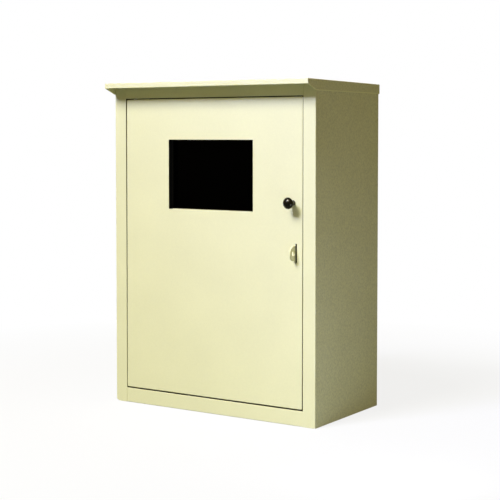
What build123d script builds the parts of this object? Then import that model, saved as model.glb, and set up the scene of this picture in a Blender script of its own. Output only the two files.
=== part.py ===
from build123d import *
from math import hypot
import os

# Folded steel enclosure: rain hood, hinged door with a window, round knob and padlock lug.
# Millimetres. X runs to the right, the door faces -Y, Z is up.
# The origin is the centre of the underside.

# Sheet metal
sheet = 1.2
bend = 0.3
weld_gap = 0.2
bond = 0.05

# Cabinet body
box_width = 501.2
box_depth = 263.5
wall_height = 684
stile_width = 29
rail_height = 31.1
header_height = 28
rail_recess = 0.4
header_recess = 0
fold_height = 20
fold_relief = 4
stop_width = 15.4
stop_height = 14
hinge_return_extra = 6
worn_width = 12
worn_depth = 18
worn_height = 6
corner_nick = 3
corner_nick_height = 1.2

# Rain hood
hood_overhang = 33
hood_lip = 10.2
hood_skirt = 20.2
hood_fall = 2.7
hood_side_gap = 0.3
hood_top_gap = 0.3
hood_corner = 0.8

# Door
door_depth = 20
hinge_side_gap = 1.8
lock_side_gap = 1.1
top_gap = 2.0
bottom_gap = 2.6
door_lean = 0.65
door_corner = 3.0
seal_thickness = 3.7
seal_width = 6
seal_gap = 0.3

# Window in the door
window_width = 211.4
window_height = 144.9
window_shift = -1.5
window_drop = 85.1
window_corner = 0.8
reveal_depth = 15
sill_relief_width = 9.5
sill_relief_drop = 0.9
gasket_thickness = 2
pane_thickness = 3
pane_lap = 8
retainer_thickness = 2
retainer_lap = 24
retainer_lip = 5
retainer_stud_reach = 16

# Hidden pivot hinges
pivot_inset = 22
pivot_depth = 7
pin_radius = 3
pin_head_radius = 5
pin_head = 2
pin_reach = 7.5
pivot_clearance = 0.05
bush_radius = 4.5
bush_collar_radius = 5.4
bush_collar = 1.5
bush_length = 8.5
thrust_clearance = 0.1

# Padlock lug and its slot
lug_thickness = 3
lug_height = 29.7
lug_reach = 19.6
lug_corner = 14
lug_shoulder_gap = 0.4
lug_drop = 309.6
lug_stop_gap = 2.0
lug_foot = 17.5
lug_hole_radius = 5
lug_hole_reach = 7.7
slot_height = 38.8
slot_width = 7.4
slot_side_gap = 0.5
rivet_radius = 2
rivet_head_radius = 3.5
rivet_head = 1.5
rivet_inset = 4.5
rivet_spacing = 18

# Domed knob on a round neck
knob_inset = 51.85
knob_drop = 209.4
knob_radius = 11.5
knob_crown = 6.4
knob_rim = 1.0
knob_underside = 4.0
knob_seat = 0.5
collar_radius = 5.5
collar_height = 15.2
knob_stud_depth = 6

# Mounting plate on the back panel
plate_side_margin = 50
plate_end_margin = 62.5
plate_thickness = 2
plate_stand_off = 20
plate_stud_inset = 20
plate_stud_length = 35
spacer_radius = 7

# Wall fixing holes in the back panel
wall_hole_radius = 5.25
wall_hole_side_inset = 35.6
wall_hole_end_inset = 44.5

# Cable entry in the bottom
entry_width = 240
entry_depth = 60
entry_border = 15
entry_inset = 71.5
entry_plate_thickness = 2
entry_gasket_thickness = 2
entry_stud_length = 14.5

# Hood fixings
hood_stud_inset = 50
hood_stud_end_inset = 60
hood_stud_length = 20

# Fasteners: thread radius, nut across flats, nut height, washer radius, washer thickness
m5 = dict(radius=2.5, flats=8, nut=4, washer_radius=5, washer=1)
m6 = dict(radius=3, flats=10, nut=5, washer_radius=6, washer=1.6)
m8 = dict(radius=4, flats=13, nut=6.5, washer_radius=8, washer=1.6)
thread_clearance = 0.05
hole_clearance = 0.4
nut_chamfer = 0.5

# Places worked out from the sizes above
half_width = box_width / 2
front = -box_depth / 2
back = box_depth / 2
outer_bend = bend + sheet
opening_half = half_width - stile_width
door_base = rail_height + bottom_gap
header_base = wall_height - header_height
door_top = header_base - top_gap
stop_depth = door_depth + seal_gap + seal_thickness
stop_edge = opening_half - stop_width
stop_plane = front + stop_depth
hinge_return = stop_depth + hinge_return_extra
door_skin_back = front + sheet
pivot_x = -opening_half + pivot_inset
pivot_y = front + pivot_depth
pivot_to_edge = pivot_inset - hinge_side_gap + door_lean
hinge_sweep = hypot(pivot_to_edge, door_depth - pivot_depth)
window_top = door_top - window_drop
window_base = window_top - window_height
window_left = window_shift - window_width / 2
window_right = window_shift + window_width / 2
sill_left = window_left + sill_relief_width
lug_z = door_top - lug_drop
lug_face_x = stop_edge - lug_stop_gap
slot_left = lug_face_x - lug_thickness - slot_side_gap
knob_x = half_width - knob_inset
knob_z = door_top - knob_drop
middle_z = wall_height / 2
entry_y = back - entry_inset
hood_nose = front - hood_overhang
hood_inside_back = back + hood_side_gap
hood_rear = hood_inside_back + sheet
hood_rear_top = wall_height + hood_top_gap + sheet


def prism_x(face, low, high):
    """Extrude a face drawn in (y, z) from one x to another."""
    return extrude(Plane.YZ.offset(low) * face, amount=high - low)


def prism_y(face, low, high):
    """Extrude a face drawn in (x, z) from one y to another."""
    return extrude(Plane.XZ.offset(-high) * face, amount=high - low)


def prism_z(face, low, high):
    """Extrude a face drawn in (x, y) from one z to another."""
    return extrude(Plane.XY.offset(low) * face, amount=high - low)


def block(x, y, z):
    """A box given by its two ends along each axis."""
    size = [high - low for low, high in (x, y, z)]
    corner = [low for low, high in (x, y, z)]
    return Pos(*corner) * Box(*size, align=(Align.MIN, Align.MIN, Align.MIN))


def outline(left, right, low, high, radius, lean=0):
    """A rectangle with rounded corners whose sides lean to the right by lean at the top."""
    corners = [
        (left - lean, low),
        (right - lean, low),
        (right + lean, high),
        (left + lean, high),
    ]
    return make_face(FilletPolyline(*corners, radius=radius, close=True))


def folded_section(points, thickness=sheet, inner=bend):
    """Section of a folded sheet. Its skin follows the points and the sheet lies to their left."""
    path = [Vector(*point) for point in points]
    runs = [(b - a).normalized() for a, b in zip(path, path[1:])]
    normals = [Vector(-run.Y, run.X) for run in runs]
    left_turns = [a.cross(b).Z > 0 for a, b in zip(runs, runs[1:])]
    rear = [path[0] + normals[0] * thickness]
    for corner, before, after in zip(path[1:], normals, normals[1:]):
        rear.append(corner + (before + after) * (thickness / (1 + before.dot(after))))
    rear.append(path[-1] + normals[-1] * thickness)
    skin_radii = [inner + thickness if left else inner for left in left_turns]
    rear_radii = [inner if left else inner + thickness for left in left_turns]
    skin = FilletPolyline(*path, radius=skin_radii)
    inside = FilletPolyline(*rear, radius=rear_radii)
    ends = [Line(path[0], rear[0]), Line(path[-1], rear[-1])]
    return make_face(skin.edges() + inside.edges() + ends)


def rod(radius, length):
    """A round bar standing on the XY plane."""
    return Cylinder(radius, length, align=(Align.CENTER, Align.CENTER, Align.MIN))


def tube(radius, bore, length):
    """A round bar with a bore through it."""
    return rod(radius, length) - rod(bore, length)


def nut(size):
    """A hexagon nut with chamfered corners at both faces."""
    hexagon = RegularPolygon(size["flats"] / 2, 6, major_radius=False)
    body = extrude(hexagon, size["nut"])
    corner_radius = size["flats"] / 2 * 1.155
    cone = chamfer(rod(corner_radius, size["nut"]).edges(), nut_chamfer)
    return (body & cone) - rod(size["radius"] + thread_clearance, size["nut"])


def washer(size):
    """A flat washer."""
    return tube(size["washer_radius"], size["radius"] + hole_clearance, size["washer"])


def facing(direction):
    """Turn a piece that stands along +Z so that it stands along another axis."""
    turns = {"+Y": Rot(-90, 0, 0), "-Y": Rot(90, 0, 0), "-Z": Rot(180, 0, 0), "+X": Rot(0, 90, 0)}
    return turns[direction]


def group(pieces):
    """Several like pieces as one node of separate solids."""
    solids = [solid for piece in pieces for solid in piece.solids()]
    return Compound(children=solids)


def rectangle_points(x, y):
    """The four corners of a rectangle centred on the origin."""
    return [(-x, -y), (x, -y), (x, y), (-x, y)]


wall_holes = rectangle_points(half_width - wall_hole_side_inset, middle_z - wall_hole_end_inset)
hood_stud_points = rectangle_points(half_width - hood_stud_inset, back - hood_stud_end_inset)
plate_half_width = half_width - plate_side_margin
plate_half_height = middle_z - plate_end_margin
plate_stud_points = rectangle_points(
    plate_half_width - plate_stud_inset, plate_half_height - plate_stud_inset
)
entry_stud_x = (entry_width + entry_border) / 2
entry_stud_y = (entry_depth + entry_border) / 2
entry_stud_points = rectangle_points(entry_stud_x, entry_stud_y)
entry_stud_points += [(0, -entry_stud_y), (0, entry_stud_y)]
stud_half_width = window_width / 2 + retainer_stud_reach
stud_half_height = window_height / 2 + retainer_stud_reach
retainer_points = rectangle_points(stud_half_width, stud_half_height)
retainer_points += [(0, -stud_half_height), (0, stud_half_height)]
retainer_points += [(-stud_half_width, 0), (stud_half_width, 0)]
window_middle_z = (window_top + window_base) / 2
rivet_x = stop_edge + rivet_inset


def make_body_wrap():
    """Back, sides and front stiles with their returns, folded from one sheet."""
    section = folded_section(
        [
            (stop_edge, stop_plane),
            (opening_half, stop_plane),
            (opening_half, front),
            (half_width, front),
            (half_width, back),
            (-half_width, back),
            (-half_width, front),
            (-opening_half, front),
            (-opening_half, front + hinge_return),
        ]
    )
    wrap = prism_z(section, 0, wall_height)
    return_reach = opening_half + outer_bend
    notch_depth = sheet + weld_gap
    for low in (0, wall_height - notch_depth):
        wrap -= block(
            (-return_reach, return_reach),
            (door_skin_back + bond, front + hinge_return + 1),
            (low, low + notch_depth),
        )
    for x, z in wall_holes:
        hole = Pos(x, back, middle_z + z) * facing("-Y") * rod(wall_hole_radius, 2 * sheet)
        wrap -= hole
    for spacing in (-rivet_spacing / 2, rivet_spacing / 2):
        place = Pos(rivet_x, stop_plane - 1, lug_z + spacing)
        wrap -= place * facing("+Y") * rod(rivet_radius + bond, sheet + 2)
    wrap += block(
        (opening_half, opening_half + outer_bend),
        (front, door_skin_back),
        (0, rail_height),
    )
    nick = block(
        (half_width - corner_nick, half_width + 1),
        (front - 1, front + outer_bend),
        (-1, corner_nick_height),
    )
    return wrap - nick - worn_corner_tool()


def worn_corner_tool():
    """What is worn away at the lower left front corner, in front and at the side."""
    front_cut = prism_y(worn_outline(-half_width, worn_width), front - 1, front + outer_bend)
    side_cut = prism_x(worn_outline(front, worn_depth), -half_width - 1, -half_width + outer_bend)
    return front_cut + side_cut


def worn_outline(edge, width):
    """The piece outside a quarter ellipse that starts at an edge of the underside."""
    corner = Rectangle(width, worn_height, align=(Align.MIN, Align.MIN))
    return Pos(edge, 0) * (corner - Pos(width, worn_height) * Ellipse(width, worn_height))


def end_pan(face_height, recess):
    """A folded pan that closes one end of the body, with the face beside the door and its stop."""
    pan_back = back - sheet - weld_gap
    pan_side = half_width - sheet - weld_gap
    face_half = opening_half - weld_gap
    face_plane = front + recess
    lengthwise = folded_section(
        [
            (stop_plane, face_height + stop_height),
            (stop_plane, face_height),
            (face_plane, face_height),
            (face_plane, 0),
            (pan_back, 0),
            (pan_back, fold_height),
        ]
    )
    crosswise = folded_section(
        [(-pan_side, fold_height), (-pan_side, 0), (pan_side, 0), (pan_side, fold_height)]
    )
    rear = folded_section(
        [(front + stop_depth, 0), (pan_back, 0), (pan_back, fold_height)]
    )
    pan = prism_x(lengthwise, -face_half, face_half)
    pan += prism_y(crosswise, door_skin_back + fold_relief, pan_back - fold_relief)
    pan += prism_x(rear, fold_relief - pan_side, pan_side - fold_relief)
    behind = (stop_plane - bend - weld_gap, stop_plane + outer_bend)
    above = (face_height - sheet - 1, face_height + stop_height + 1)
    pan -= block((stop_edge - weld_gap, half_width), behind, above)
    pan -= block((-half_width, pivot_x + hinge_sweep), behind, above)
    pin_hole = rod(pin_radius + pivot_clearance, 2 * sheet)
    pan -= Pos(pivot_x, pivot_y, face_height - 2 * sheet + bond) * pin_hole
    return pan


def make_bottom_tray():
    """Bottom panel with the rail under the door, and the cable entry."""
    tray = end_pan(rail_height, rail_recess)
    entry = Pos(0, entry_y, -1) * Box(
        entry_width, entry_depth, sheet + 2, align=(Align.CENTER, Align.CENTER, Align.MIN)
    )
    worn = block(
        (-half_width - 1, -half_width + worn_width),
        (front - 1, front + worn_depth),
        (-1, worn_height),
    )
    return tray - entry - worn


def make_top_panel():
    """Top panel with the header above the door."""
    panel = Pos(0, 0, wall_height) * mirror(end_pan(header_height, header_recess), Plane.XY)
    for x, y in hood_stud_points:
        hole = rod(m6["radius"] + hole_clearance, sheet + 2)
        panel -= Pos(x, y, wall_height - sheet - 1) * hole
    return panel


def hood_top(y):
    """Height of the hood's top at a place between the nose and the rear, where it is lowest."""
    return hood_rear_top + hood_fall * (hood_rear - y) / (hood_rear - hood_nose)


def make_roof_hood():
    """Rain hood that falls to the rear: lip in front, skirts at the sides and rear, slanted ends."""
    inside_x = half_width + hood_side_gap
    side = inside_x + sheet
    inside_nose = hood_nose + sheet
    skirt_base = hood_rear_top - hood_skirt
    profile = make_face(
        Polyline(
            (hood_nose, hood_top(hood_nose) - hood_lip),
            (front, skirt_base),
            (hood_rear, skirt_base),
            (hood_rear, hood_rear_top),
            (hood_nose, hood_top(hood_nose)),
            close=True,
        )
    )
    shell = prism_x(profile, -side, side)
    uprights = shell.edges().filter_by(Axis.Z)
    shell = fillet(uprights, hood_corner)
    shell = fillet(shell.faces().sort_by(Axis.Z)[-1].edges(), outer_bend)
    inside = make_face(
        Polyline(
            (inside_nose, skirt_base - 1),
            (hood_inside_back, skirt_base - 1),
            (hood_inside_back, hood_top(hood_inside_back) - sheet),
            (inside_nose, hood_top(inside_nose) - sheet),
            close=True,
        )
    )
    hollow = prism_x(inside, -inside_x, inside_x)
    hollow = fillet(hollow.faces().sort_by(Axis.Z)[-1].edges(), bend)
    return shell - hollow


def make_hood_fixings():
    """Studs under the hood through spacers and the top panel, with washers and nuts inside."""
    under = wall_height - sheet
    studs = []
    spacers = []
    washers = []
    nuts = []
    for x, y in hood_stud_points:
        down = facing("-Z")
        ceiling = hood_top(y + m6["washer_radius"]) - sheet
        gap = ceiling - bond - wall_height
        spacer = tube(m6["washer_radius"], m6["radius"] + hole_clearance, gap)
        spacers.append(Pos(x, y, wall_height) * spacer)
        studs.append(Pos(x, y, ceiling) * down * rod(m6["radius"], hood_stud_length))
        washers.append(Pos(x, y, under) * down * washer(m6))
        nuts.append(Pos(x, y, under - m6["washer"]) * down * nut(m6))
    return studs, spacers, washers, nuts


def window_outline(grow, radius=window_corner):
    """The window's outline, grown by some millimetres on every side."""
    left = window_left - grow
    right = window_right + grow
    return outline(left, right, window_base - grow, window_top + grow, radius)


def make_door_pan():
    """Door skin with returns on four sides and a sill folded in under the window."""
    left = -opening_half + hinge_side_gap
    right = opening_half - lock_side_gap
    skin = outline(left, right, door_base, door_top, door_corner, door_lean)
    inner = outline(
        left + sheet, right - sheet, door_base + sheet, door_top - sheet, door_corner - sheet, door_lean
    )
    pan = prism_y(skin, front, front + door_depth)
    pan = fillet(pan.faces().sort_by(Axis.Y)[0].edges(), outer_bend)
    hollow = prism_y(inner, door_skin_back, front + door_depth + 1)
    hollow = fillet(hollow.faces().sort_by(Axis.Y)[0].edges(), bend)
    pan -= hollow
    sill_root = window_base - 2 * outer_bend
    pan -= prism_y(window_outline(0), front - 1, door_skin_back + 1)
    pan -= block(
        (window_left, sill_left),
        (front - 1, door_skin_back + 1),
        (window_base - sill_relief_drop, window_base + 1),
    )
    pan -= block(
        (sill_left, window_right), (front - 1, door_skin_back + 1), (sill_root, window_base + 1)
    )
    sill = folded_section(
        [(front + reveal_depth, window_base), (front, window_base), (front, sill_root)]
    )
    pan += prism_x(sill, sill_left, window_right)
    pan -= prism_y(
        outline(slot_left, slot_left + slot_width, lug_z - slot_height / 2, lug_z + slot_height / 2, 0.5),
        front - 1,
        door_skin_back + 1,
    )
    knob_hole = rod(m6["radius"] + hole_clearance, sheet + 2)
    pan -= Pos(knob_x, front - 1, knob_z) * facing("+Y") * knob_hole
    bush_hole = rod(bush_radius + bond, 2 * sheet)
    pan -= Pos(pivot_x, pivot_y, door_base - bond) * bush_hole
    pan -= Pos(pivot_x, pivot_y, door_top - 2 * sheet + bond) * bush_hole
    return pan


def make_window_parts():
    """Gasket around the sill, pane and retainer frame, with the studs and nuts that hold them."""
    pane_y = front + reveal_depth + gasket_thickness
    retainer_y = pane_y + pane_thickness
    nut_y = retainer_y + retainer_thickness
    gasket = prism_y(window_outline(pane_lap), door_skin_back, pane_y)
    gasket -= prism_y(window_outline(0), front, pane_y + 1)
    gasket -= block(
        (sill_left - bond, window_right + bond),
        (front, front + reveal_depth + bond),
        (window_base - sheet - bend, window_base + 1),
    )
    pane = prism_y(window_outline(pane_lap), pane_y, retainer_y)
    frame = prism_y(window_outline(retainer_lap, door_corner), retainer_y, nut_y)
    frame -= prism_y(window_outline(-retainer_lip), retainer_y - 1, nut_y + 1)
    studs = []
    nuts = []
    for x, z in retainer_points:
        place = (x + window_shift, window_middle_z + z)
        hole = rod(m5["radius"] + hole_clearance, retainer_thickness + 2)
        frame -= Pos(place[0], retainer_y - 1, place[1]) * facing("+Y") * hole
        stud = rod(m5["radius"], nut_y + m5["nut"] + 1.5 - door_skin_back)
        studs.append(Pos(place[0], door_skin_back, place[1]) * facing("+Y") * stud)
        nuts.append(Pos(place[0], nut_y, place[1]) * facing("+Y") * nut(m5))
    return gasket, pane, frame, studs, nuts


def make_door_seal():
    """Foam strip on the stop flanges: along the rail, the lock side and the header."""
    inset = bend + seal_gap
    left = pivot_x + hinge_sweep
    right = opening_half - inset
    low = rail_height + inset
    high = header_base - inset
    strip = block((left, right), (stop_plane - seal_thickness, stop_plane - bond), (low, high))
    strip -= block(
        (left - 1, right - seal_width),
        (front, stop_plane),
        (low + seal_width, high - seal_width),
    )
    return strip


def make_hinge():
    """Pins in the rail and the header, bushes in the door, and the washer that carries the door."""
    pin = rod(pin_head_radius, pin_head)
    lower_length = pin_head + sheet + bottom_gap + pin_reach
    upper_length = pin_head + sheet + top_gap + pin_reach
    at_pivot = Pos(pivot_x, pivot_y, 0)
    lower_pin = Pos(0, 0, rail_height - sheet - pin_head) * (pin + rod(pin_radius, lower_length))
    upper_pin = pin + rod(pin_radius, upper_length)
    upper_pin = Pos(0, 0, header_base + sheet + pin_head) * facing("-Z") * upper_pin
    bush = rod(bush_radius, bush_length)
    bush += Pos(0, 0, sheet + bond) * rod(bush_collar_radius, bush_collar)
    bush -= rod(pin_radius + pivot_clearance, bush_length)
    lower_bush = Pos(0, 0, door_base) * bush
    upper_bush = Pos(0, 0, door_top) * facing("-Z") * bush
    thrust = tube(bush_collar_radius, pin_radius + 2 * pivot_clearance, bottom_gap - thrust_clearance)
    thrust = Pos(0, 0, rail_height) * thrust
    return [at_pivot * piece for piece in (lower_pin, upper_pin, lower_bush, upper_bush, thrust)]


def make_padlock_lug():
    """Bent plate behind the stop flange. Its shoulders fill the door's slot and its tongue stands out."""
    foot_plane = stop_plane + sheet + bond
    tip = front - lug_reach
    section = folded_section(
        [(lug_face_x, tip), (lug_face_x, foot_plane), (lug_face_x + lug_foot, foot_plane)],
        thickness=lug_thickness,
        inner=sheet,
    )
    shoulder = slot_height / 2 - lug_shoulder_gap
    bar = prism_z(section, lug_z - shoulder, lug_z + shoulder)
    tongue = RectangleRounded(2 * lug_reach, lug_height, lug_corner)
    root = Rectangle(foot_plane + 2 * lug_thickness - front, slot_height, align=(Align.MIN, Align.CENTER))
    shape = Pos(front, lug_z) * (tongue + root)
    lug = bar & prism_x(shape, lug_face_x - 2 * lug_thickness, half_width)
    hole_place = Pos(lug_face_x - 2 * lug_thickness, front - lug_hole_reach, lug_z)
    lug -= hole_place * facing("+X") * rod(lug_hole_radius, 4 * lug_thickness)
    rivets = []
    for spacing in (-rivet_spacing / 2, rivet_spacing / 2):
        shank_hole = rod(rivet_radius + bond, 3 * lug_thickness)
        lug -= Pos(rivet_x, foot_plane - 1, lug_z + spacing) * facing("+Y") * shank_hole
        rivets.append(make_rivet(rivet_x, lug_z + spacing, foot_plane + lug_thickness))
    return lug, rivets


def make_rivet(x, z, tail_plane):
    """A rivet through the stop flange and the lug's foot, with a domed head at both ends."""
    shank = rod(rivet_radius, tail_plane - stop_plane + 2 * rivet_head)
    head = rod(rivet_head_radius, rivet_head)
    head = fillet(head.edges().sort_by(Axis.Z)[0], rivet_head * 0.9)
    tail = Pos(0, 0, tail_plane - stop_plane + 2 * rivet_head) * facing("-Z") * head
    return Pos(x, stop_plane - rivet_head, z) * facing("+Y") * (shank + head + tail)


def make_knob():
    """Domed head on a round neck, with the stud through the door's skin and its washer and nut."""
    seat_y = front - collar_height
    stud_tip = seat_y - knob_stud_depth
    nut_y = door_skin_back + m6["washer"]
    crown_radius = (knob_radius**2 + knob_crown**2) / (2 * knob_crown)
    half = (Align.MIN, Align.MIN)
    underside = Pos(0, knob_underside - knob_seat) * Ellipse(knob_radius, knob_underside)
    underside &= Rectangle(knob_radius, knob_underside - knob_seat, align=half)
    rim_low = knob_underside - knob_seat
    rim_high = rim_low + knob_rim
    crown = Pos(0, rim_high + knob_crown - crown_radius) * Circle(crown_radius)
    crown &= Pos(0, rim_high) * Rectangle(knob_radius, knob_crown, align=half)
    rim = Pos(0, rim_low) * Rectangle(knob_radius, knob_rim, align=half)
    head = revolve(Plane.XZ * (underside + rim + crown), Axis.Z)
    head -= rod(m6["radius"] + thread_clearance, knob_stud_depth + 1)
    head = Pos(knob_x, seat_y, knob_z) * facing("-Y") * head
    collar = tube(collar_radius, m6["radius"] + hole_clearance, collar_height)
    collar = Pos(knob_x, seat_y, knob_z) * facing("+Y") * collar
    stud = rod(m6["radius"], nut_y + m6["nut"] + 2 - stud_tip)
    stud = Pos(knob_x, stud_tip, knob_z) * facing("+Y") * stud
    ring = Pos(knob_x, door_skin_back, knob_z) * facing("+Y") * washer(m6)
    lock = Pos(knob_x, nut_y, knob_z) * facing("+Y") * nut(m6)
    return head, collar, stud, ring, lock


def make_mounting_plate():
    """Mounting plate on studs and spacers in front of the back panel."""
    inside = back - sheet
    plate_back = inside - plate_stand_off
    plate_front = plate_back - plate_thickness
    plate = outline(
        -plate_half_width,
        plate_half_width,
        middle_z - plate_half_height,
        middle_z + plate_half_height,
        door_corner,
    )
    plate = prism_y(plate, plate_front, plate_back)
    sets = {"studs": [], "spacers": [], "washers": [], "nuts": []}
    for x, z in plate_stud_points:
        inward = Pos(x, 0, middle_z + z) * facing("-Y")
        hole = rod(m8["radius"] + hole_clearance, plate_thickness + 2)
        plate -= Pos(0, plate_back + 1, 0) * inward * hole
        spacer = tube(spacer_radius, m8["radius"] + hole_clearance, plate_stand_off)
        sets["studs"].append(Pos(0, inside, 0) * inward * rod(m8["radius"], plate_stud_length))
        sets["spacers"].append(Pos(0, inside, 0) * inward * spacer)
        sets["washers"].append(Pos(0, plate_front, 0) * inward * washer(m8))
        sets["nuts"].append(Pos(0, plate_front - m8["washer"], 0) * inward * nut(m8))
    return plate, sets


def make_cable_entry():
    """Gasket and plate that close the cable entry from inside, with their studs and nuts."""
    width = entry_width + 2 * entry_border
    depth = entry_depth + 2 * entry_border
    centred = (Align.CENTER, Align.CENTER, Align.MIN)
    gasket = Pos(0, entry_y, sheet) * Box(width, depth, entry_gasket_thickness, align=centred)
    gasket -= Pos(0, entry_y, 0) * Box(entry_width, entry_depth, 4 * sheet, align=centred)
    plate_z = sheet + entry_gasket_thickness
    plate = Pos(0, entry_y, plate_z) * Box(width, depth, entry_plate_thickness, align=centred)
    studs = []
    nuts = []
    for x, y in entry_stud_points:
        place = Pos(x, entry_y + y, 0)
        hole = rod(m5["radius"] + hole_clearance, plate_z + 2 * entry_plate_thickness)
        gasket -= place * hole
        plate -= place * hole
        studs.append(place * Pos(0, 0, sheet) * rod(m5["radius"], entry_stud_length))
        nuts.append(place * Pos(0, 0, plate_z + entry_plate_thickness) * nut(m5))
    return gasket, plate, studs, nuts


hood_studs, hood_spacers, hood_washers, hood_nuts = make_hood_fixings()
window_gasket, window_pane, window_retainer, retainer_studs, retainer_nuts = make_window_parts()
lower_pin, upper_pin, lower_bush, upper_bush, thrust_washer = make_hinge()
padlock_lug, lug_rivets = make_padlock_lug()
knob_head, knob_collar, knob_stud, knob_washer, knob_nut = make_knob()
mounting_plate, plate_sets = make_mounting_plate()
gland_gasket, gland_plate, gland_studs, gland_nuts = make_cable_entry()

nodes = {
    "body_wrap": make_body_wrap(),
    "bottom_tray": make_bottom_tray(),
    "top_panel": make_top_panel(),
    "roof_hood": make_roof_hood(),
    "hood_studs": group(hood_studs),
    "hood_spacers": group(hood_spacers),
    "hood_washers": group(hood_washers),
    "hood_nuts": group(hood_nuts),
    "door_pan": make_door_pan(),
    "window_gasket": window_gasket,
    "window_pane": window_pane,
    "window_retainer": window_retainer,
    "retainer_studs": group(retainer_studs),
    "retainer_nuts": group(retainer_nuts),
    "door_seal": make_door_seal(),
    "hinge_pin_lower": lower_pin,
    "hinge_pin_upper": upper_pin,
    "hinge_bush_lower": lower_bush,
    "hinge_bush_upper": upper_bush,
    "thrust_washer": thrust_washer,
    "padlock_lug": padlock_lug,
    "lug_rivets": group(lug_rivets),
    "knob_head": knob_head,
    "knob_collar": knob_collar,
    "knob_stud": knob_stud,
    "knob_washer": knob_washer,
    "knob_nut": knob_nut,
    "mounting_plate": mounting_plate,
    "plate_studs": group(plate_sets["studs"]),
    "plate_spacers": group(plate_sets["spacers"]),
    "plate_washers": group(plate_sets["washers"]),
    "plate_nuts": group(plate_sets["nuts"]),
    "gland_plate": gland_plate,
    "gland_gasket": gland_gasket,
    "gland_studs": group(gland_studs),
    "gland_nuts": group(gland_nuts),
}

os.makedirs("parts", exist_ok=True)
for name, piece in nodes.items():
    export_step(piece, f"parts/{name}.step")
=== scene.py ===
"""Finishes, small parts and studio for a folded steel enclosure with a rain hood and a hinged door.

The packed model gives the sheets, fasteners and joints. This add-on gives them their materials and
models the pieces that deserve a finer shape: the knob, the padlock lug, the pane, the foam seal and
the threads. Everything is in metres, with the door facing -Y and Z up.
"""

import math

import bmesh
import bpy
from bpy.props import FloatProperty, FloatVectorProperty, IntProperty, PointerProperty
from mathutils import Matrix, Vector


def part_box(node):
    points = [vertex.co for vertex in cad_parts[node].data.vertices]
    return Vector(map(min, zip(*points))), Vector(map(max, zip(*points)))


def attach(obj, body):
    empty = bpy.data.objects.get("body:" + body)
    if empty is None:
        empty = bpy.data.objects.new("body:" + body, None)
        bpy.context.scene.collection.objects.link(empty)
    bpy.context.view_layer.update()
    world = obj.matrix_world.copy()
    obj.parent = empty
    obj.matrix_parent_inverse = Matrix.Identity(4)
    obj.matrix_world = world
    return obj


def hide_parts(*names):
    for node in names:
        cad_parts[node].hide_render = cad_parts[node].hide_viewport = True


bl_info = {
    "name": "Steel Enclosure",
    "version": (1, 0, 0),
    "blender": (4, 5, 0),
    "location": "3D View > Sidebar > Enclosure",
    "description": "Powder coat, small parts and studio for a folded steel enclosure",
    "category": "Object",
}

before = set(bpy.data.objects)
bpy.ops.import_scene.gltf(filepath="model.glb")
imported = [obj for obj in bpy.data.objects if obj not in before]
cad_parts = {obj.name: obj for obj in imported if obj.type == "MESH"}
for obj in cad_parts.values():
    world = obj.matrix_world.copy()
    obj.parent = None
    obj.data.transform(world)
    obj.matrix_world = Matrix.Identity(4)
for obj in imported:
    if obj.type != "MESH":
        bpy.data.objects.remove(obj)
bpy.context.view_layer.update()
SHEET_NODES = ("body_wrap", "bottom_tray", "top_panel", "door_pan")
HOOD_NODES = ("roof_hood",)
STUD_NODES = {
    "hood_studs": ("frame", "Z"),
    "plate_studs": ("frame", "Y"),
    "gland_studs": ("frame", "Z"),
    "retainer_studs": ("door", "Y"),
    "knob_stud": ("door", "Y"),
}
ZINC_NODES = (
    "hood_spacers",
    "hood_washers",
    "hood_nuts",
    "plate_washers",
    "plate_nuts",
    "gland_nuts",
    "retainer_nuts",
    "knob_washer",
    "knob_nut",
    "hinge_pin_lower",
    "hinge_pin_upper",
    "lug_rivets",
)
GALVANISED_NODES = ("mounting_plate", "plate_spacers", "gland_plate", "window_retainer")
BUSH_NODES = ("hinge_bush_lower", "hinge_bush_upper", "thrust_washer")
GASKET_NODES = ("window_gasket", "gland_gasket")

# Angles in degrees above which an edge stays sharp
TURNED_EDGE = 50
LUG_EDGE = 30
THREAD_EDGE = 25

# Distances in metres below which vertices are merged, and the diameter below which a stud is thin
MERGE_DISTANCE = 0.000005
SPIN_MERGE_DISTANCE = 0.000002
THIN_STUD = 0.007

# Range that holds most of a noise texture's values
NOISE_LOW = 0.3
NOISE_HIGH = 0.7


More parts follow.
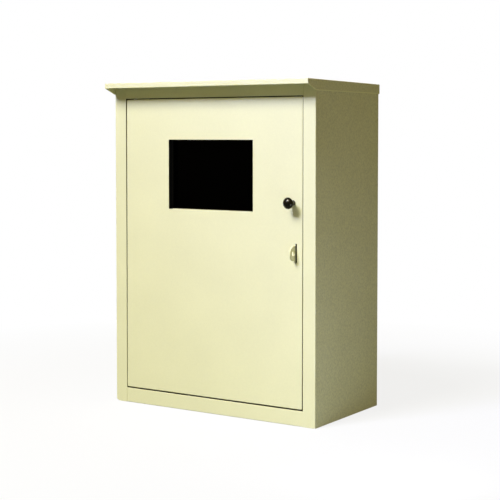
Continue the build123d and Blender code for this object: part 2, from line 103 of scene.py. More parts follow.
class PowderCoatSettings(bpy.types.PropertyGroup):
    """Colour and texture of the powder coat."""

    colour: FloatVectorProperty(
        name="Colour",
        description="Colour of the powder coat",
        subtype="COLOR",
        size=3,
        min=0.0,
        max=1.0,
        default=(0.790, 0.760, 0.445),
    )
    roughness: FloatProperty(
        name="Roughness",
        description="Roughness of the cured coat",
        subtype="FACTOR",
        min=0.0,
        max=1.0,
        default=0.50,
    )
    sheen_level: FloatProperty(
        name="Specular level",
        description="How strongly the coat reflects",
        subtype="FACTOR",
        min=0.0,
        max=1.0,
        default=0.30,
    )
    # Painted shade: darkens the coat on the faces in the gap round the door, where little light reaches
    gap_painted_shade: FloatVectorProperty(
        name="Seam shade",
        description="How much of the colour is left under the dust in the gap round the door",
        subtype="COLOR",
        size=3,
        min=0.0,
        max=1.0,
        default=(0.12, 0.10, 0.04),
    )
    # Painted highlight: these two settings give a lighter band of coat along the hood skirts' lower edge,
    # standing in for light caught by that edge
    edge_highlight_gain: FloatProperty(
        name="Bead gain",
        description="How much lighter the thick coat on the skirts' lower edge is",
        min=0.0,
        default=1.25,
    )
    edge_highlight_height: FloatProperty(
        name="Bead height",
        description="Height of the thick coat on the skirts' lower edge",
        unit="LENGTH",
        default=0.0020,
    )
    lip_height: FloatProperty(
        name="Lip height",
        description="Height of the hood's front lip, where the skirts' edge starts to fall",
        unit="LENGTH",
        default=0.0102,
    )
    front_grain: FloatProperty(
        name="Front grain",
        description="How strongly the fine mottle shows on the front, top and back",
        min=0.0,
        default=0.5,
    )
    # Partly real mottle, partly painted shade: the extra strength on the side walls stands in for the
    # orange peel's relief shading under grazing light
    side_grain_and_relief_shade: FloatProperty(
        name="Side grain",
        description="How strongly the fine mottle shows on the side walls",
        min=0.0,
        default=4.6,
    )
    peel_size: FloatProperty(
        name="Orange peel size",
        description="Distance between two dimples of the orange peel",
        unit="LENGTH",
        default=0.0016,
    )
    peel_depth: FloatProperty(
        name="Orange peel depth",
        description="Depth of the orange peel",
        unit="LENGTH",
        default=0.00003,
    )
    mottle_size: FloatProperty(
        name="Mottle size",
        description="Distance between two light patches in the coat",
        unit="LENGTH",
        default=0.0035,
    )


class KnobSettings(bpy.types.PropertyGroup):
    """Shape and finish of the domed knob."""

    segments: IntProperty(
        name="Segments",
        description="Segments around the head and the neck",
        min=16,
        max=128,
        default=64,
    )
    crown_height: FloatProperty(
        name="Crown height",
        description="Height of the dome in front of the rim",
        unit="LENGTH",
        default=0.0064,
    )
    rim_width: FloatProperty(
        name="Rim width",
        description="Width of the rim between the dome and the underside",
        unit="LENGTH",
        default=0.0010,
    )
    seat_share: FloatProperty(
        name="Seat",
        description="Radius of the flat that sits on the neck, as a share of the head's radius",
        subtype="FACTOR",
        min=0.1,
        max=1.0,
        default=0.484,
    )
    roughness: FloatProperty(
        name="Roughness",
        description="Roughness of the moulded plastic",
        subtype="FACTOR",
        min=0.0,
        max=1.0,
        default=0.26,
    )


class SmallPartSettings(bpy.types.PropertyGroup):
    """Threads, edges and the foam seal."""

    thread_segments: IntProperty(
        name="Thread segments",
        description="Segments around a threaded stud",
        min=12,
        max=48,
        default=24,
    )
    edge_radius: FloatProperty(
        name="Edge radius",
        description="Rounding of the padlock lug's edges",
        unit="LENGTH",
        default=0.0004,
    )
    seal_width: FloatProperty(
        name="Seal width",
        description="Width of the foam strip",
        unit="LENGTH",
        default=0.006,
    )
    seal_radius: FloatProperty(
        name="Seal radius",
        description="Rounding of the foam strip's front edges",
        unit="LENGTH",
        default=0.0014,
    )
    pane_chamfer: FloatProperty(
        name="Pane chamfer",
        description="Chamfer round the pane's edges",
        unit="LENGTH",
        default=0.0004,
    )


class StudioSettings(bpy.types.PropertyGroup):
    """Camera, lamps and floor."""

    focal_length: FloatProperty(
        name="Focal length",
        description="Focal length on a sensor 36 mm wide, in millimetres",
        default=91.47,
    )
    camera_place: FloatVectorProperty(
        name="Camera place",
        description="Where the camera stands",
        subtype="TRANSLATION",
        unit="LENGTH",
        default=(1.4999, -2.2752, 0.5784),
    )
    camera_yaw: FloatProperty(
        name="Yaw",
        description="Turn of the camera about the vertical",
        subtype="ANGLE",
        default=math.radians(33.2),
    )
    camera_pitch: FloatProperty(
        name="Pitch",
        description="How far the camera looks down",
        subtype="ANGLE",
        default=math.radians(2.85),
    )
    camera_rise: FloatProperty(
        name="Lens shift",
        description="Vertical shift of the lens, as a share of the frame",
        default=-0.1034,
    )
    softbox_place: FloatVectorProperty(
        name="Softbox place",
        description="Where the main softbox hangs",
        subtype="TRANSLATION",
        unit="LENGTH",
        default=(-0.84, -3.15, 3.80),
    )
    softbox_aim: FloatVectorProperty(
        name="Softbox aim",
        description="Point that the main softbox faces",
        subtype="TRANSLATION",
        unit="LENGTH",
        default=(0.00, -0.13, 0.15),
    )
    softbox_size: FloatProperty(
        name="Softbox size",
        description="Side of the square softbox",
        unit="LENGTH",
        default=1.70,
    )
    softbox_power: FloatProperty(
        name="Softbox power",
        description="Power of the main softbox",
        unit="POWER",
        default=31.6,
    )
    softbox_colour: FloatVectorProperty(
        name="Softbox colour",
        description="Colour of the main softbox",
        subtype="COLOR",
        size=3,
        min=0.0,
        max=1.0,
        default=(1.0, 1.0, 1.0),
    )
    softbox_spread: FloatProperty(
        name="Softbox spread",
        description="Angle over which the main softbox spreads its light",
        subtype="ANGLE",
        default=math.radians(60),
    )
    card_place: FloatVectorProperty(
        name="Card place",
        description="Where the low card stands that lights the side",
        subtype="TRANSLATION",
        unit="LENGTH",
        default=(0.66, -0.50, 0.13),
    )
    card_aim: FloatVectorProperty(
        name="Card aim",
        description="Point that the low card faces",
        subtype="TRANSLATION",
        unit="LENGTH",
        default=(0.25, -0.09, 0.13),
    )
    card_size: FloatProperty(
        name="Card size",
        description="Side of the square card",
        unit="LENGTH",
        default=0.16,
    )
    card_colour: FloatVectorProperty(
        name="Card colour",
        description="Colour of the card's light",
        subtype="COLOR",
        size=3,
        min=0.0,
        max=1.0,
        default=(0.74, 0.80, 1.00),
    )
    card_power: FloatProperty(
        name="Card power",
        description="Power of the low card",
        unit="POWER",
        default=0.64,
    )
    card_spread: FloatProperty(
        name="Card spread",
        description="Angle over which the low card spreads its light",
        subtype="ANGLE",
        default=math.radians(150),
    )
    room_light: FloatVectorProperty(
        name="Room light",
        description="Dim warm light that comes from all around",
        subtype="COLOR",
        size=3,
        default=(0.250, 0.203, 0.075),
    )
    beam_aim: FloatVectorProperty(
        name="Beam aim",
        description="Point that the beam beside the main softbox faces",
        subtype="TRANSLATION",
        unit="LENGTH",
        default=(0.62, -0.13, 1.30),
    )
    beam_colour: FloatVectorProperty(
        name="Beam colour",
        description="Colour of the beam",
        subtype="COLOR",
        size=3,
        min=0.0,
        max=1.0,
        default=(0.340, 0.405, 1.000),
    )
    beam_spread: FloatProperty(
        name="Beam spread",
        description="Angle over which the beam spreads its light",
        subtype="ANGLE",
        default=math.radians(22),
    )
    beam_power: FloatProperty(
        name="Beam power",
        description="Power of the beam",
        unit="POWER",
        default=12.2,
    )
    floor_radius: FloatProperty(
        name="Floor radius",
        description="Radius of the round floor",
        unit="LENGTH",
        default=9.0,
    )
    floor_drop: FloatProperty(
        name="Floor drop",
        description="How far the floor lies below the object",
        unit="LENGTH",
        default=0.0004,
    )
    shadow_share: FloatProperty(
        name="Shadow share",
        description="Share of plain glow in the floor close to the object, where the rest takes the shadow",
        subtype="FACTOR",
        min=0.0,
        max=1.0,
        default=0.84,
    )
    shadow_reach: FloatProperty(
        name="Shadow reach",
        description="Distance from which the floor only glows",
        unit="LENGTH",
        default=1.3,
    )
    floor_bounce: FloatVectorProperty(
        name="Floor bounce",
        description="Colour of the light that the floor sends back at the object",
        subtype="COLOR",
        size=3,
        min=0.0,
        max=1.0,
        default=(0.204, 0.242, 0.224),
    )


# Helpers for shapes


def add_piece(name, shape, body, node, material):
    """Make a mesh object from a bmesh, ride it on a body and let it stand for a node."""
    bmesh.ops.recalc_face_normals(shape, faces=shape.faces)
    mesh = bpy.data.meshes.new(name)
    shape.to_mesh(mesh)
    shape.free()
    piece = bpy.data.objects.new(name, mesh)
    bpy.context.scene.collection.objects.link(piece)
    mesh.materials.append(material)
    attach(piece, body)
    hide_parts(node)
    return piece


def smooth_below(piece, degrees):
    """Shade a piece smooth, apart from edges sharper than an angle."""
    for face in piece.data.polygons:
        face.use_smooth = True
    piece.data.set_sharp_from_angle(angle=math.radians(degrees))


def merged_copy(node):
    """A copy of a node's mesh with its vertices merged."""
    shape = bmesh.new()
    shape.from_mesh(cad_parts[node].data)
    bmesh.ops.remove_doubles(shape, verts=shape.verts, dist=MERGE_DISTANCE)
    return shape


def flat_copy(node):
    """A merged copy of a node's mesh, with flat areas joined."""
    shape = merged_copy(node)
    bmesh.ops.dissolve_limit(
        shape, angle_limit=math.radians(0.5), verts=shape.verts, edges=shape.edges
    )
    return shape


def islands(node):
    """The low and high corner of each separate solid of a node."""
    shape = merged_copy(node)
    left = set(shape.verts)
    boxes = []
    while left:
        found = [left.pop()]
        for vert in found:
            for edge in vert.link_edges:
                other = edge.other_vert(vert)
                if other in left:
                    left.discard(other)
                    found.append(other)
        low = Vector(min(v.co[axis] for v in found) for axis in range(3))
        high = Vector(max(v.co[axis] for v in found) for axis in range(3))
        boxes.append((low, high))
    shape.free()
    return sorted(boxes, key=lambda box: tuple(box[0]))


def along_y(place):
    """Turn a shape that stands along +Z so that it lies along +Y, and put it in place."""
    return Matrix.Translation(place) @ Matrix.Rotation(math.radians(-90), 4, "X")


def front_centre(low, high):
    """The middle of a box's front face."""
    return Vector(((low.x + high.x) / 2, low.y, (low.z + high.z) / 2))


def turned(shape, profile, segments, place):
    """Add a closed turned piece from pairs of radius and height, standing along +Z before it is placed."""
    piece = bmesh.new()
    points = [piece.verts.new((radius, 0, height)) for radius, height in profile]
    lines = [piece.edges.new(pair) for pair in zip(points, points[1:])]
    bmesh.ops.spin(
        piece,
        geom=points + lines,
        cent=(0, 0, 0),
        axis=(0, 0, 1),
        angle=2 * math.pi,
        steps=segments,
        use_merge=True,
    )
    bmesh.ops.remove_doubles(piece, verts=piece.verts, dist=SPIN_MERGE_DISTANCE)
    bmesh.ops.transform(piece, matrix=place, verts=piece.verts)
    mesh = bpy.data.meshes.new("turned_piece")
    piece.to_mesh(mesh)
    piece.free()
    shape.from_mesh(mesh)
    bpy.data.meshes.remove(mesh)


def round_edges(shape, edges, radius, segments=3):
    """Round some edges of a shape."""
    bmesh.ops.bevel(
        shape,
        geom=edges,
        offset=radius,
        offset_type="OFFSET",
        segments=segments,
        profile=0.5,
        affect="EDGES",
        clamp_overlap=True,
        material=-1,
    )


def sharp_edges(shape, degrees=40):
    """Edges where two faces meet at more than an angle."""
    limit = math.radians(degrees)
    return [e for e in shape.edges if len(e.link_faces) == 2 and e.calc_face_angle(0) > limit]


# Helpers for materials


def new_material(name):
    """An empty material and its shader."""
    material = bpy.data.materials.new(name)
    material.use_nodes = True
    return material, material.node_tree.nodes["Principled BSDF"]


def add_node(material, kind, **settings):
    """Add a node and set what it is given."""
    node = material.node_tree.nodes.new(kind)
    for key, value in settings.items():
        setattr(node, key, value)
    return node


def link(material, source, target):
    """Join two sockets of a material."""
    material.node_tree.links.new(source, target)


def object_points(material, stretch=(1, 1, 1)):
    """Places on the piece, in metres, stretched along the axes."""
    place = add_node(material, "ShaderNodeTexCoord")
    mapping = add_node(material, "ShaderNodeMapping")
    mapping.inputs["Scale"].default_value = stretch
    link(material, place.outputs["Object"], mapping.inputs["Vector"])
    return mapping.outputs["Vector"]


def point_axes(material):
    """The X, Y and Z of places on the piece, in metres."""
    split = add_node(material, "ShaderNodeSeparateXYZ")
    link(material, object_points(material), split.inputs["Vector"])
    return split.outputs


def cloud(material, size, detail=2.0, stretch=(1, 1, 1)):
    """Noise whose patches have a size in metres."""
    noise = add_node(material, "ShaderNodeTexNoise", noise_dimensions="3D")
    noise.inputs["Scale"].default_value = 1.0 / size
    noise.inputs["Detail"].default_value = detail
    noise.inputs["Roughness"].default_value = 0.5
    link(material, object_points(material, stretch), noise.inputs["Vector"])
    return noise.outputs["Fac"]


def spread(material, value, low, high, new_low, new_high):
    """Map a value from one range to another."""
    node = add_node(material, "ShaderNodeMapRange", clamp=True)
    node.inputs["From Min"].default_value = low
    node.inputs["From Max"].default_value = high
    node.inputs["To Min"].default_value = new_low
    node.inputs["To Max"].default_value = new_high
    link(material, value, node.inputs["Value"])
    return node.outputs["Result"]


def from_noise(material, noise, low, high):
    """Map a noise texture's values to a range."""
    return spread(material, noise, NOISE_LOW, NOISE_HIGH, low, high)


def calculate(material, operation, first, second):
    """Arithmetic on a socket and a socket or number."""
    node = add_node(material, "ShaderNodeMath", operation=operation)
    for socket, value in zip(node.inputs, (first, second)):
        if isinstance(value, (int, float)):
            socket.default_value = value
        else:
            link(material, value, socket)
    return node.outputs["Value"]


def unsigned(material, value):
    """A socket's value without its sign."""
    return calculate(material, "ABSOLUTE", value, 0.0)


def shade_between(material, factor, first, second):
    """A colour between two colours."""
    node = add_node(material, "ShaderNodeMix", data_type="RGBA", blend_type="MIX")
    link(material, factor, node.inputs["Factor"])
    node.inputs["A"].default_value = (*first, 1)
    node.inputs["B"].default_value = (*second, 1)
    return node.outputs["Result"]


def mixed_over(material, blend, factor, under, colour):
    """A colour socket with a plain colour mixed over it."""
    node = add_node(material, "ShaderNodeMix", data_type="RGBA", blend_type=blend)
    link(material, factor, node.inputs["Factor"])
    link(material, under, node.inputs["A"])
    node.inputs["B"].default_value = (*colour, 1)
    return node.outputs["Result"]


def scaled(colour, share):
    """A colour made lighter or darker by a share."""
    return tuple(min(1.0, channel * share) for channel in colour)


def raise_surface(material, shader, height, distance):
    """Bump a surface by a height texture, by a distance in metres."""
    bump = add_node(material, "ShaderNodeBump")
    bump.inputs["Strength"].default_value = 1.0
    bump.inputs["Distance"].default_value = distance
    link(material, height, bump.inputs["Height"])
    link(material, bump.outputs["Normal"], shader.inputs["Normal"])


def dress(nodes, material):
    """Give CAD nodes a material."""
    for name in nodes:
        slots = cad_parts[name].data.materials
        slots.clear()
        slots.append(material)


def painted_gap_shade_share(material):
    """Mask of the painted shade: one in the gap round the door, behind its front, and zero elsewhere."""
    first_shade = 0.0006
    full_shade = 0.0016
    seal_room = 0.0075
    gap_room = 0.0030
    low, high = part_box("door_pan")
    middle = (low + high) / 2
    points = point_axes(material)
    share = spread(material, points["Y"], low.y + first_shade, low.y + full_shade, 0.0, 1.0)
    before_seal = calculate(material, "LESS_THAN", points["Y"], high.y + seal_room)
    share = calculate(material, "MULTIPLY", share, before_seal)
    for axis, centre, end in (("X", middle.x, high.x), ("Z", middle.z, high.z)):
        offset = calculate(material, "SUBTRACT", points[axis], centre)
        reach = end - centre + gap_room
        near = calculate(material, "LESS_THAN", unsigned(material, offset), reach)
        share = calculate(material, "MULTIPLY", share, near)
    return share


def edge_highlight_share(material, settings):
    """Mask of the painted highlight: one along the lower edge of the hood's side skirts, and zero
    elsewhere.
    """
    blur = 0.0003
    skirt_depth = 0.0014
    low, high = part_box("roof_hood")
    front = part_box("body_wrap")[0].y
    slope = (high.z - settings.lip_height - low.z) / (front - low.y)
    points = point_axes(material)
    beyond = calculate(material, "SUBTRACT", front, points["Y"])
    rise = calculate(material, "MULTIPLY", calculate(material, "MAXIMUM", beyond, 0.0), slope)
    over = calculate(material, "SUBTRACT", points["Z"], rise)
    top = low.z + settings.edge_highlight_height
    share = spread(material, over, top - blur, top + blur, 1.0, 0.0)
    outward = unsigned(material, points["X"])
    skirt = calculate(material, "GREATER_THAN", outward, high.x - skirt_depth)
    return calculate(material, "MULTIPLY", share, skirt)


def coat_tint(material, settings):
    """The coat's colour with its fine mottle, stronger on the side walls as painted shading of the orange
    peel, and broad faint clouds.
    """
    cloud_size = 0.11
    cloud_strength = 0.8
    widest = 2.4
    contrast = 0.12
    wall_skin = 0.0004
    mottle = from_noise(material, cloud(material, settings.mottle_size, 3.0), -0.5, 0.5)
    outward = unsigned(material, point_axes(material)["X"])
    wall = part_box("body_wrap")[1].x - wall_skin
    # Stronger mottle on the side walls: painted relief shading on top of the real mottle
    gain = spread(
        material, outward, wall, wall + wall_skin / 2, settings.front_grain, settings.side_grain_and_relief_shade
    )
    mottle = calculate(material, "MULTIPLY", mottle, gain)
    broad = from_noise(material, cloud(material, cloud_size, 2.0), -0.5, 0.5)
    broad = calculate(material, "MULTIPLY", broad, cloud_strength)
    both = calculate(material, "ADD", mottle, broad)
    return shade_between(
        material,
        spread(material, both, -widest, widest, 0.0, 1.0),
        scaled(settings.colour, 1 - contrast),
        scaled(settings.colour, 1 + contrast),
    )


def orange_peel(material, size):
    """Height of the coat's dimples, with finer ones between them."""
    fine_share = 0.25
    fine = cloud(material, size / 3, 0.0)
    return calculate(
        material,
        "ADD",
        cloud(material, size, 1.0),
        calculate(material, "MULTIPLY", fine, fine_share),
    )


def powder_coat(settings, name, edge_highlighted=False):
    """Cream powder coat, with painted shade in the door's gap and, if asked, a painted highlight along the
    hood skirts' lower edge.
    """
    patch_size = 0.02
    unevenness = 0.03
    material, shader = new_material(name)
    coat = coat_tint(material, settings)
    # Painted shade on the faces in the gap round the door
    coat = mixed_over(material, "MULTIPLY", painted_gap_shade_share(material), coat, settings.gap_painted_shade)
    # Painted highlight along the hood skirts' lower edge
    if edge_highlighted:
        highlight_colour = scaled(settings.colour, settings.edge_highlight_gain)
        coat = mixed_over(material, "MIX", edge_highlight_share(material, settings), coat, highlight_colour)
    link(material, coat, shader.inputs["Base Color"])
    rough = from_noise(
        material,
        cloud(material, patch_size, 2.0),
        settings.roughness - unevenness,
        settings.roughness + unevenness,
    )
    link(material, rough, shader.inputs["Roughness"])
    shader.inputs["Specular IOR Level"].default_value = settings.sheen_level
    raise_surface(material, shader, orange_peel(material, settings.peel_size), settings.peel_depth)
    return material


def zinc_plate():
    """Bright zinc plating on turned and pressed steel, slightly uneven."""
    material, shader = new_material("zinc_plated_steel")
    patches = from_noise(material, cloud(material, 0.004, 3.0), 0.0, 1.0)
    tint = shade_between(material, patches, (0.50, 0.50, 0.47), (0.66, 0.66, 0.64))
    link(material, tint, shader.inputs["Base Color"])
    link(material, spread(material, patches, 0.0, 1.0, 0.26, 0.40), shader.inputs["Roughness"])
    shader.inputs["Metallic"].default_value = 1.0
    raise_surface(material, shader, cloud(material, 0.0004, 2.0), 0.000004)
    return material


def galvanised():
    """Galvanised sheet: interlocked crystals of slightly different grey."""
    crystal_size = 0.011
    material, shader = new_material("galvanised_sheet")
    crystals = add_node(material, "ShaderNodeTexVoronoi", feature="F1", distance="EUCLIDEAN")
    crystals.inputs["Scale"].default_value = 1.0 / crystal_size
    crystals.inputs["Randomness"].default_value = 1.0
    link(material, object_points(material), crystals.inputs["Vector"])
    grey = add_node(material, "ShaderNodeSeparateColor")
    link(material, crystals.outputs["Color"], grey.inputs["Color"])
    tint = shade_between(
        material, grey.outputs["Red"], (0.50, 0.51, 0.52), (0.68, 0.69, 0.69)
    )
    link(material, tint, shader.inputs["Base Color"])
    link(
        material,
        spread(material, grey.outputs["Green"], 0.0, 1.0, 0.34, 0.52),
        shader.inputs["Roughness"],
    )
    shader.inputs["Metallic"].default_value = 1.0
    scratches = cloud(material, 0.0012, 2.0, stretch=(1.0, 1.0, 0.06))
    raise_surface(material, shader, scratches, 0.000006)
    return material


def foam_rubber():
    """Matt black cellular rubber."""
    material, shader = new_material("foam_rubber_black")
    pores = cloud(material, 0.0007, 2.0)
    tint = shade_between(
        material,
        from_noise(material, pores, 0.0, 1.0),
        (0.0022, 0.0022, 0.0020),
        (0.0070, 0.0068, 0.0062),
    )
    link(material, tint, shader.inputs["Base Color"])
    link(material, from_noise(material, pores, 0.78, 0.95), shader.inputs["Roughness"])
    shader.inputs["Specular IOR Level"].default_value = 0.3
    raise_surface(material, shader, pores, 0.00012)
    return material


def turned_brass():
    """Darkened brass with fine turning marks around a vertical axis."""
    material, shader = new_material("turned_brass")
    marks = cloud(material, 0.0004, 2.0, stretch=(0.05, 0.05, 1.0))
    tint = shade_between(
        material, from_noise(material, marks, 0.0, 1.0), (0.20, 0.14, 0.05), (0.34, 0.25, 0.11)
    )
    link(material, tint, shader.inputs["Base Color"])
    link(material, from_noise(material, marks, 0.24, 0.38), shader.inputs["Roughness"])
    shader.inputs["Metallic"].default_value = 1.0
    raise_surface(material, shader, marks, 0.00001)
    return material


def moulded_black(settings):
    """Glossy black moulded plastic with faint handling marks."""
    material, shader = new_material("moulded_black")
    marks = from_noise(material, cloud(material, 0.003, 3.0), 0.0, 1.0)
    tint = shade_between(material, marks, (0.0008, 0.0007, 0.0004), (0.0022, 0.0020, 0.0013))
    link(material, tint, shader.inputs["Base Color"])
    link(
        material,
        spread(material, marks, 0.0, 1.0, settings.roughness - 0.04, settings.roughness + 0.05),
        shader.inputs["Roughness"],
    )
    shader.inputs["Specular IOR Level"].default_value = 0.42
    shader.inputs["Specular Tint"].default_value = (1.0, 0.90, 0.62, 1)
    raise_surface(material, shader, cloud(material, 0.0009, 1.0), 0.000006)
    return material


def smoked_pane():
    """Near-black pane with faint dust."""
    material, shader = new_material("smoked_pane")
    dust = spread(material, cloud(material, 0.0016, 4.0), 0.62, 0.80, 0.0, 1.0)
    tint = shade_between(material, dust, (0.0001, 0.0001, 0.0001), (0.0012, 0.0011, 0.0008))
    link(material, tint, shader.inputs["Base Color"])
    link(material, spread(material, dust, 0.0, 1.0, 0.16, 0.42), shader.inputs["Roughness"])
    shader.inputs["Specular IOR Level"].default_value = 0.02
    return material


# Operators


class ENCLOSURE_OT_coat_sheets(bpy.types.Operator):
    """Powder coat the body, the pans, the hood and the door"""

    bl_idname = "enclosure.coat_sheets"
    bl_label = "Coat the Sheets"

    def execute(self, context):
        settings = context.scene.enclosure_coat
        dress(SHEET_NODES, powder_coat(settings, "powder_coat_cream"))
        dress(HOOD_NODES, powder_coat(settings, "powder_coat_hood", edge_highlighted=True))
        return {"FINISHED"}


def knob_profile(settings, radius, depth):
    """Radius and height of a shallow dome, its rim and the round underside, from the front backwards."""
    crown = settings.crown_height
    dome_radius = (radius**2 + crown**2) / (2 * crown)
    dome_reach = math.asin(radius / dome_radius)
    dome_steps = 16
    profile = [(0, 0)]
    for step in range(1, dome_steps + 1):
        turn = dome_reach * step / dome_steps
        profile.append((dome_radius * math.sin(turn), dome_radius * (1 - math.cos(turn))))
    rim = profile[-1][1] + settings.rim_width
    belly = depth - crown - settings.rim_width
    belly_reach = math.acos(settings.seat_share)
    belly_steps = 12
    for step in range(belly_steps + 1):
        turn = belly_reach * step / belly_steps
        height = rim + belly * math.sin(turn) / math.sin(belly_reach)
        profile.append((radius * math.cos(turn), height))
    profile.append((0, rim + belly))
    return profile


class ENCLOSURE_OT_knob(bpy.types.Operator):
    """Turn the domed head and the round neck of the door's knob"""

    bl_idname = "enclosure.knob"
    bl_label = "Knob"

    def execute(self, context):
        settings = context.scene.enclosure_knob
        material = moulded_black(settings)
        low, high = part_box("knob_head")
        radius = (high.z - low.z) / 2
        head = bmesh.new()
        profile = knob_profile(settings, radius, high.y - low.y)
        turned(head, profile, settings.segments, along_y(front_centre(low, high)))
        piece = add_piece("head_of_knob", head, "door", "knob_head", material)
        smooth_below(piece, TURNED_EDGE)
        low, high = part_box("knob_collar")
        radius = (high.z - low.z) / 2
        length = high.y - low.y
        neck = bmesh.new()
        profile = [(0, 0), (radius, 0), (radius, length), (0, length)]
        turned(neck, profile, settings.segments, along_y(front_centre(low, high)))
        piece = add_piece("neck_of_knob", neck, "door", "knob_collar", material)
        smooth_below(piece, TURNED_EDGE)
        return {"FINISHED"}


class ENCLOSURE_OT_padlock_lug(bpy.types.Operator):
    """Round the edges of the padlock lug and coat it"""

    bl_idname = "enclosure.padlock_lug"
    bl_label = "Padlock Lug"

    def execute(self, context):
        lug = flat_copy("padlock_lug")
        round_edges(lug, sharp_edges(lug), context.scene.enclosure_small.edge_radius, segments=2)
        piece = add_piece(
            "lug_plate",
            lug,
            "frame",
            "padlock_lug",
            bpy.data.materials["powder_coat_cream"],
        )
        smooth_below(piece, LUG_EDGE)
        return {"FINISHED"}


class ENCLOSURE_OT_window(bpy.types.Operator):
    """Model the dark pane with chamfered edges"""

    bl_idname = "enclosure.window"
    bl_label = "Window"

    def execute(self, context):
        low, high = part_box("window_pane")
        size = high - low
        place = Matrix.Translation((low + high) / 2) @ Matrix.Diagonal((*size, 1))
        pane = bmesh.new()
        bmesh.ops.create_cube(pane, size=1.0, matrix=place)
        round_edges(pane, pane.edges[:], context.scene.enclosure_small.pane_chamfer, segments=1)
        add_piece("dark_pane", pane, "door", "window_pane", smoked_pane())
        return {"FINISHED"}


class ENCLOSURE_OT_seals(bpy.types.Operator):
    """Model the foam strip that the door closes on, and finish the gaskets"""

    bl_idname = "enclosure.seals"
    bl_label = "Seals"

    def execute(self, context):
        rubber = foam_rubber()
        low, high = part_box("door_seal")
        width = context.scene.enclosure_small.seal_width
        strip = bmesh.new()
        corners = [
            (low.x, low.z),
            (high.x, low.z),
            (high.x, high.z),
            (low.x, high.z),
            (low.x, high.z - width),
            (high.x - width, high.z - width),
            (high.x - width, low.z + width),
            (low.x, low.z + width),
        ]
        outline = strip.faces.new([strip.verts.new((x, low.y, z)) for x, z in corners])
        grown = bmesh.ops.extrude_face_region(strip, geom=[outline], use_keep_orig=True)
        moved = [item for item in grown["geom"] if isinstance(item, bmesh.types.BMVert)]
        bmesh.ops.translate(strip, verts=moved, vec=(0, high.y - low.y, 0))
        bmesh.ops.recalc_face_normals(strip, faces=strip.faces)
        front = [e for e in strip.edges if all(abs(v.co.y - low.y) < 1e-6 for v in e.verts)]
        round_edges(strip, front, context.scene.enclosure_small.seal_radius, segments=4)
        piece = add_piece("foam_strip", strip, "frame", "door_seal", rubber)
        smooth_below(piece, TURNED_EDGE)
        dress(GASKET_NODES, rubber)
        return {"FINISHED"}


def threaded_bar(shape, low, high, axis, segments):
    """Add one stud with thread grooves between two corners, with plain thinner ends, along Y or Z."""
    pitch_share = 0.16 if high.x - low.x < THIN_STUD else 0.1552
    root_share = 0.6
    crest_start, crest_end = 0.44, 0.56
    length = (high - low)["XYZ".index(axis)]
    radius = (high.x - low.x) / 2
    pitch = pitch_share * 2 * radius
    core = radius - root_share * pitch
    turns = max(2, int((length - 2 * pitch) / pitch))
    start = (length - turns * pitch) / 2
    profile = [(0, 0), (core, 0)]
    for turn in range(turns):
        z = start + turn * pitch
        profile += [(core, z), (radius, z + crest_start * pitch), (radius, z + crest_end * pitch)]
    profile += [(core, length), (0, length)]
    if axis == "Y":
        place = along_y(front_centre(low, high))
    else:
        place = Matrix.Translation(((low.x + high.x) / 2, (low.y + high.y) / 2, low.z))
    turned(shape, profile, segments, place)


class ENCLOSURE_OT_threaded_studs(bpy.types.Operator):
    """Cut thread grooves round every stud"""

    bl_idname = "enclosure.threaded_studs"
    bl_label = "Threaded Studs"

    def execute(self, context):
        zinc = bpy.data.materials["zinc_plated_steel"]
        segments = context.scene.enclosure_small.thread_segments
        for node, (body, axis) in STUD_NODES.items():
            shape = bmesh.new()
            for low, high in islands(node):
                threaded_bar(shape, low, high, axis, segments)
            piece = add_piece("threads_" + node, shape, body, node, zinc)
            smooth_below(piece, THREAD_EDGE)
        return {"FINISHED"}


class ENCLOSURE_OT_fasteners(bpy.types.Operator):
    """Zinc plate the nuts, washers, pins and rivets"""

    bl_idname = "enclosure.fasteners"
    bl_label = "Fasteners"

    def execute(self, context):
        dress(ZINC_NODES, zinc_plate())
        return {"FINISHED"}


class ENCLOSURE_OT_inner_sheets(bpy.types.Operator):
    """Galvanise the mounting plate, the spacers, the gland plate and the pane's retainer"""

    bl_idname = "enclosure.inner_sheets"
    bl_label = "Inner Sheets"

    def execute(self, context):
        dress(GALVANISED_NODES, galvanised())
        return {"FINISHED"}


class ENCLOSURE_OT_hinge_bushes(bpy.types.Operator):
    """Finish the brass bushes and the washer that carries the door"""

    bl_idname = "enclosure.hinge_bushes"
    bl_label = "Hinge Bushes"

    def execute(self, context):
        dress(BUSH_NODES, turned_brass())
        return {"FINISHED"}


def add_softbox(name, place, aim, size, power, colour, angle):
    """A square softbox that faces a point."""
    lamp = bpy.data.lights.new(name, "AREA")
    lamp.shape = "SQUARE"
    lamp.size = size
    lamp.energy = power
    lamp.color = colour
    lamp.spread = angle
    holder = bpy.data.objects.new(name, lamp)
    bpy.context.scene.collection.objects.link(holder)
    holder.location = place
    holder.rotation_euler = (Vector(aim) - Vector(place)).to_track_quat("-Z", "Y").to_euler()


def seen_directly(material):
    """One where the camera looks straight at a surface."""
    return add_node(material, "ShaderNodeLightPath").outputs["Is Camera Ray"]


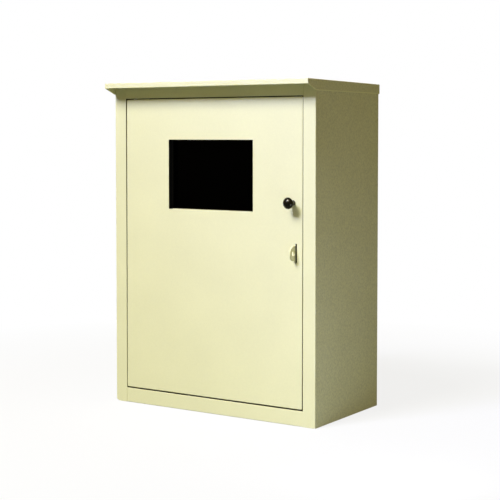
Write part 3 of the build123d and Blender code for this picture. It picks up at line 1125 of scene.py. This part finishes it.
def white_floor(settings):
    """White floor that keeps the object's shadow and sends back a dim light."""
    full_reach = 0.5
    material, shader = new_material("white_floor")
    shader.inputs["Base Color"].default_value = (*settings.floor_bounce, 1)
    shader.inputs["Roughness"].default_value = 0.9
    shader.inputs["Specular IOR Level"].default_value = 0.0
    place = add_node(material, "ShaderNodeTexCoord")
    flat = add_node(material, "ShaderNodeVectorMath", operation="MULTIPLY")
    flat.inputs[1].default_value = (1, 1, 0)
    link(material, place.outputs["Object"], flat.inputs[0])
    reach = add_node(material, "ShaderNodeVectorMath", operation="LENGTH")
    link(material, flat.outputs["Vector"], reach.inputs[0])
    glow = add_node(material, "ShaderNodeEmission")
    glow.inputs["Color"].default_value = (1, 1, 1, 1)
    glow.inputs["Strength"].default_value = 1.0
    paper = add_node(material, "ShaderNodeBsdfDiffuse")
    paper.inputs["Color"].default_value = (0.8, 0.8, 0.8, 1)
    seen = add_node(material, "ShaderNodeMixShader")
    share = spread(
        material,
        reach.outputs["Value"],
        full_reach,
        settings.shadow_reach,
        settings.shadow_share,
        1.0,
    )
    link(material, share, seen.inputs[0])
    link(material, paper.outputs["BSDF"], seen.inputs[1])
    link(material, glow.outputs["Emission"], seen.inputs[2])
    mix = add_node(material, "ShaderNodeMixShader")
    link(material, seen_directly(material), mix.inputs[0])
    link(material, shader.outputs["BSDF"], mix.inputs[1])
    link(material, seen.outputs["Shader"], mix.inputs[2])
    link(
        material, mix.outputs["Shader"], material.node_tree.nodes["Material Output"].inputs["Surface"]
    )
    return material


class ENCLOSURE_OT_studio(bpy.types.Operator):
    """Set up the floor, the lamps, the room and the camera"""

    bl_idname = "enclosure.studio"
    bl_label = "Studio"

    def execute(self, context):
        settings = context.scene.enclosure_studio
        scene = context.scene
        disc = bmesh.new()
        bmesh.ops.create_circle(disc, cap_ends=True, segments=96, radius=settings.floor_radius)
        bmesh.ops.translate(disc, verts=disc.verts, vec=(0, 0, -settings.floor_drop))
        mesh = bpy.data.meshes.new("floor")
        disc.to_mesh(mesh)
        disc.free()
        floor = bpy.data.objects.new("floor", mesh)
        scene.collection.objects.link(floor)
        mesh.materials.append(white_floor(settings))
        add_softbox(
            "softbox",
            settings.softbox_place,
            settings.softbox_aim,
            settings.softbox_size,
            settings.softbox_power,
            settings.softbox_colour,
            settings.softbox_spread,
        )
        add_softbox(
            "beam",
            settings.softbox_place,
            settings.beam_aim,
            settings.softbox_size,
            settings.beam_power,
            settings.beam_colour,
            settings.beam_spread,
        )
        add_softbox(
            "card",
            settings.card_place,
            settings.card_aim,
            settings.card_size,
            settings.card_power,
            settings.card_colour,
            settings.card_spread,
        )
        room = bpy.data.worlds.new("room")
        scene.world = room
        room.use_nodes = True
        backdrop = room.node_tree.nodes["Background"]
        backdrop.inputs["Color"].default_value = (1, 1, 1, 1)
        backdrop.inputs["Strength"].default_value = 1.0
        dim = add_node(room, "ShaderNodeBackground")
        dim.inputs["Color"].default_value = (*settings.room_light, 1)
        mix = add_node(room, "ShaderNodeMixShader")
        link(room, seen_directly(room), mix.inputs[0])
        link(room, dim.outputs["Background"], mix.inputs[1])
        link(room, backdrop.outputs["Background"], mix.inputs[2])
        link(room, mix.outputs["Shader"], room.node_tree.nodes["World Output"].inputs["Surface"])
        lens = bpy.data.cameras.new("camera")
        lens.sensor_width = 36
        lens.lens = settings.focal_length
        lens.shift_y = settings.camera_rise
        camera = bpy.data.objects.new("camera", lens)
        scene.collection.objects.link(camera)
        camera.location = settings.camera_place
        camera.rotation_euler = (
            math.radians(90) - settings.camera_pitch,
            0,
            settings.camera_yaw,
        )
        scene.camera = camera
        scene.view_settings.view_transform = "Standard"
        return {"FINISHED"}


class ENCLOSURE_PT_panel(bpy.types.Panel):
    """Sizes, finishes and steps of the enclosure"""

    bl_idname = "ENCLOSURE_PT_panel"
    bl_label = "Steel Enclosure"
    bl_space_type = "VIEW_3D"
    bl_region_type = "UI"
    bl_category = "Enclosure"

    def draw(self, context):
        layout = self.layout
        for name, group in SETTINGS.items():
            box = layout.box()
            box.label(text=group.__doc__.rstrip("."))
            settings = getattr(context.scene, name)
            for field in group.__annotations__:
                box.prop(settings, field)
        for step in STEPS:
            layout.operator(step.bl_idname)


SETTINGS = {
    "enclosure_coat": PowderCoatSettings,
    "enclosure_knob": KnobSettings,
    "enclosure_small": SmallPartSettings,
    "enclosure_studio": StudioSettings,
}
STEPS = (
    ENCLOSURE_OT_studio,
    ENCLOSURE_OT_coat_sheets,
    ENCLOSURE_OT_fasteners,
    ENCLOSURE_OT_inner_sheets,
    ENCLOSURE_OT_hinge_bushes,
    ENCLOSURE_OT_threaded_studs,
    ENCLOSURE_OT_knob,
    ENCLOSURE_OT_padlock_lug,
    ENCLOSURE_OT_window,
    ENCLOSURE_OT_seals,
)


def register():
    """Add the settings, the steps and the panel."""
    for group in SETTINGS.values():
        bpy.utils.register_class(group)
    for name, group in SETTINGS.items():
        setattr(bpy.types.Scene, name, PointerProperty(type=group))
    for step in STEPS:
        bpy.utils.register_class(step)
    bpy.utils.register_class(ENCLOSURE_PT_panel)


def unregister():
    """Remove the panel, the steps and the settings."""
    bpy.utils.unregister_class(ENCLOSURE_PT_panel)
    for step in reversed(STEPS):
        bpy.utils.unregister_class(step)
    for name in SETTINGS:
        delattr(bpy.types.Scene, name)
    for group in reversed(SETTINGS.values()):
        bpy.utils.unregister_class(group)


def main():
    """Run every step in order."""
    register()
    bpy.ops.enclosure.studio()
    bpy.ops.enclosure.coat_sheets()
    bpy.ops.enclosure.fasteners()
    bpy.ops.enclosure.inner_sheets()
    bpy.ops.enclosure.hinge_bushes()
    bpy.ops.enclosure.threaded_studs()
    bpy.ops.enclosure.knob()
    bpy.ops.enclosure.padlock_lug()
    bpy.ops.enclosure.window()
    bpy.ops.enclosure.seals()


if __name__ == "__main__":
    main()
